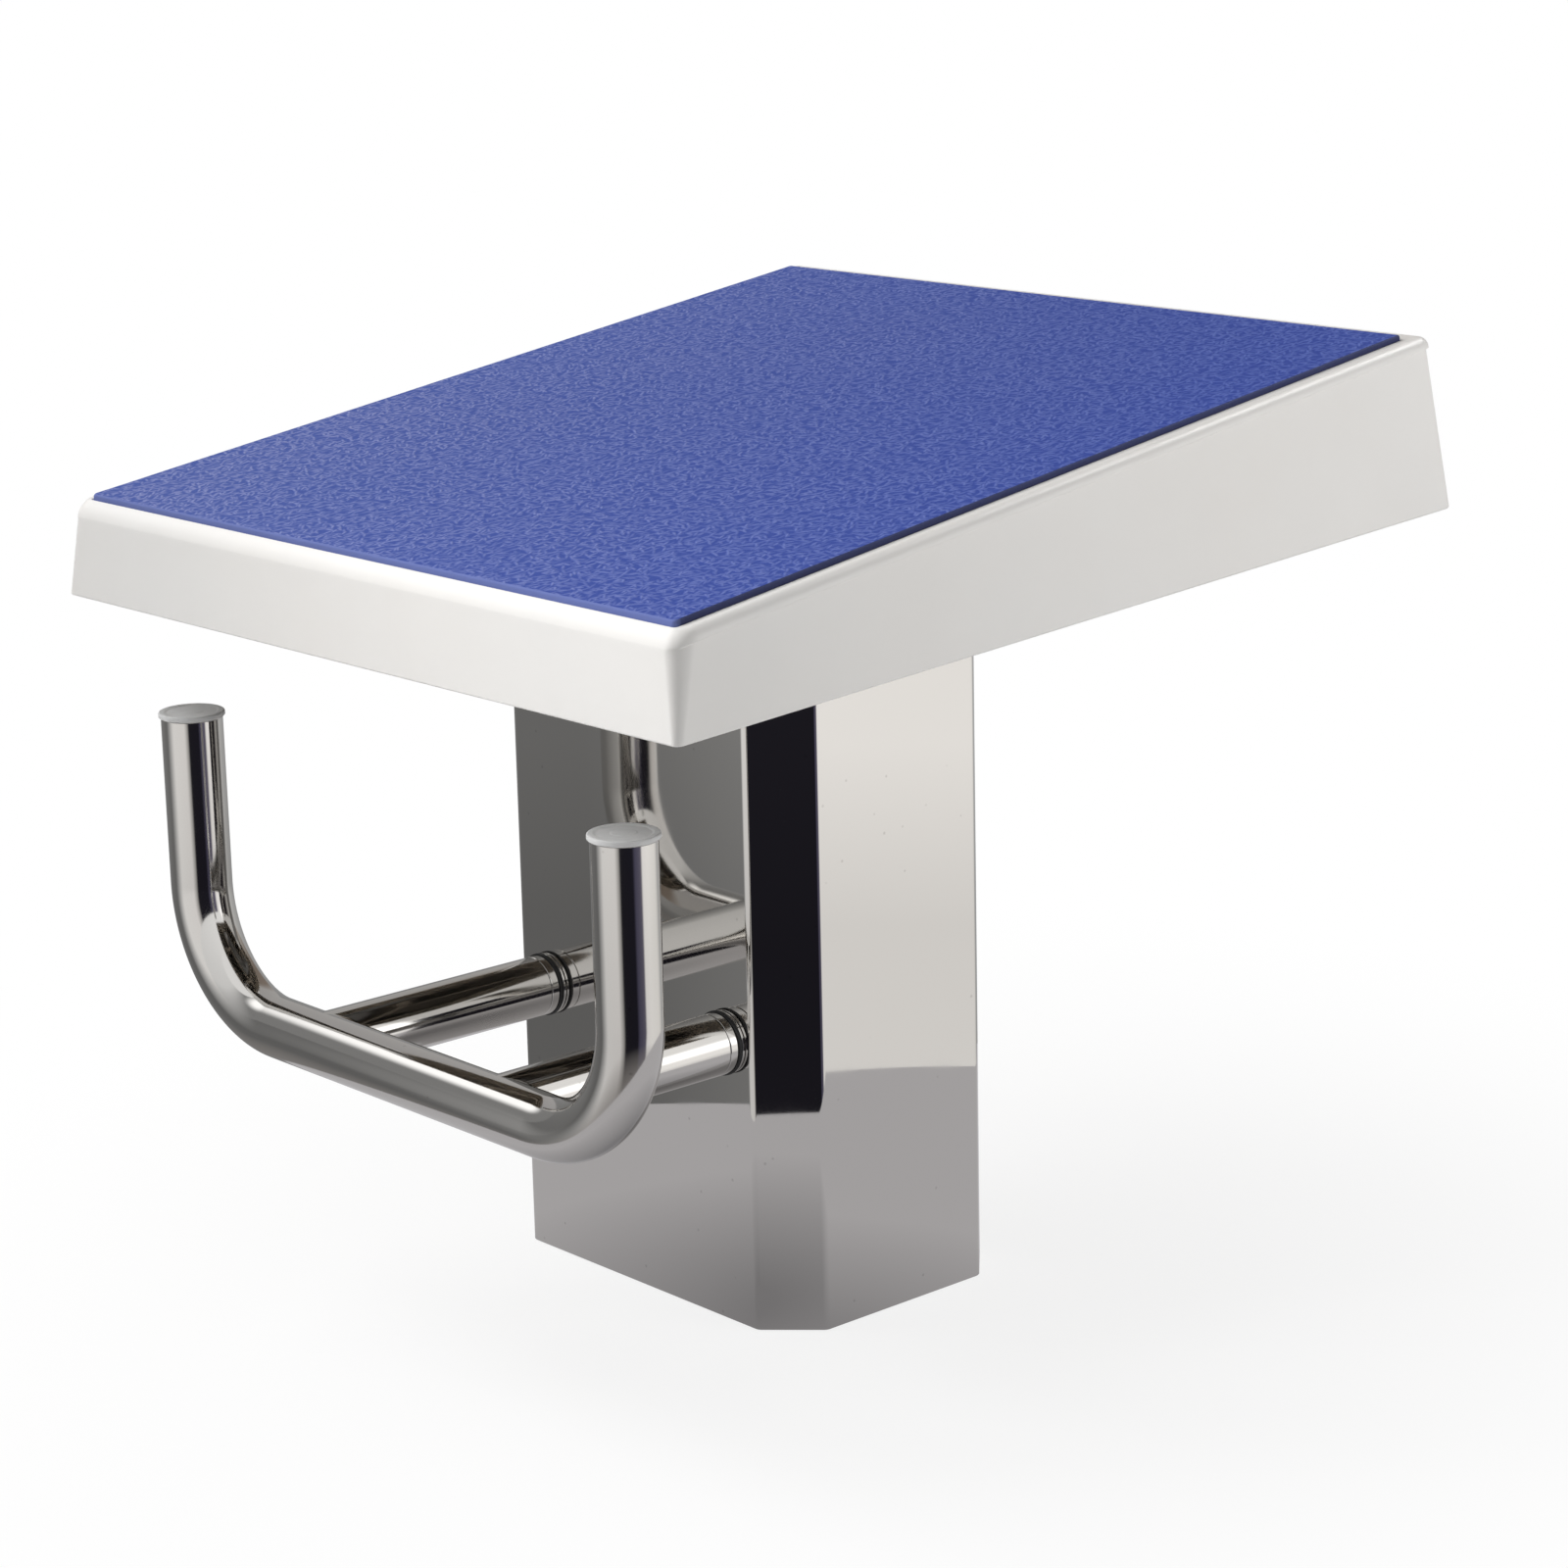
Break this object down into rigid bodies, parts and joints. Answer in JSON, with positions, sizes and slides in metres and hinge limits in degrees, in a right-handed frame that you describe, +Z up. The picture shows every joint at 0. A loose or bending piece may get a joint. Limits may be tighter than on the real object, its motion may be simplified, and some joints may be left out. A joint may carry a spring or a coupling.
{
  "type": "swimming starting block",
  "caption": "Sloping moulded starting platform with an anti-slip mat on a chamfered steel column, with a bent steel hand rail in front for backstroke starts.",
  "frame": {"origin": "centre of the column's foot, on the pool deck", "axes": "+Z up; +Y away from the pool, towards the higher rear edge of the platform; +X to the right as seen from the pool"},
  "size_m": [0.52, 0.555, 0.5153],
  "materials": {
    "gelcoat": "satin white gelcoat on moulded glass-fibre laminate",
    "mat_rubber": "matt blue rubber with a fine wandering grain",
    "polished_steel": "mirror-polished stainless steel",
    "plain_steel": "mill-finish stainless steel",
    "black_rubber": "matt black rubber",
    "grey_plastic": "matt light grey moulded plastic"
  },
  "bodies": {
    "root": {"platform_shell": "gelcoat", "antislip_mat": "mat_rubber", "column_shell": "polished_steel", "rail_tube": "polished_steel", "base_plate": "plain_steel", "top_flange": "plain_steel", "backing_plate": "plain_steel", "insert_plate_left": "plain_steel", "rail_washer_left": "plain_steel", "rail_bolt_left": "plain_steel", "rail_arm_left": "polished_steel", "arm_plug_left": "polished_steel", "arm_washer_left": "polished_steel", "seal_ring_left": "black_rubber", "end_cap_left": "grey_plastic", "platform_washer_front_left": "plain_steel", "platform_bolt_front_left": "plain_steel", "flange_gusset_front_left": "plain_steel", "foot_gusset_front_left": "plain_steel", "platform_washer_rear_left": "plain_steel", "platform_bolt_rear_left": "plain_steel", "flange_gusset_rear_left": "plain_steel", "foot_gusset_rear_left": "plain_steel", "insert_plate_right": "plain_steel", "rail_washer_right": "plain_steel", "rail_bolt_right": "plain_steel", "rail_arm_right": "polished_steel", "arm_plug_right": "polished_steel", "arm_washer_right": "polished_steel", "seal_ring_right": "black_rubber", "end_cap_right": "grey_plastic", "platform_washer_front_right": "plain_steel", "platform_bolt_front_right": "plain_steel", "flange_gusset_front_right": "plain_steel", "foot_gusset_front_right": "plain_steel", "platform_washer_rear_right": "plain_steel", "platform_bolt_rear_right": "plain_steel", "flange_gusset_rear_right": "plain_steel", "foot_gusset_rear_right": "plain_steel"}
  },
  "joints": []
}
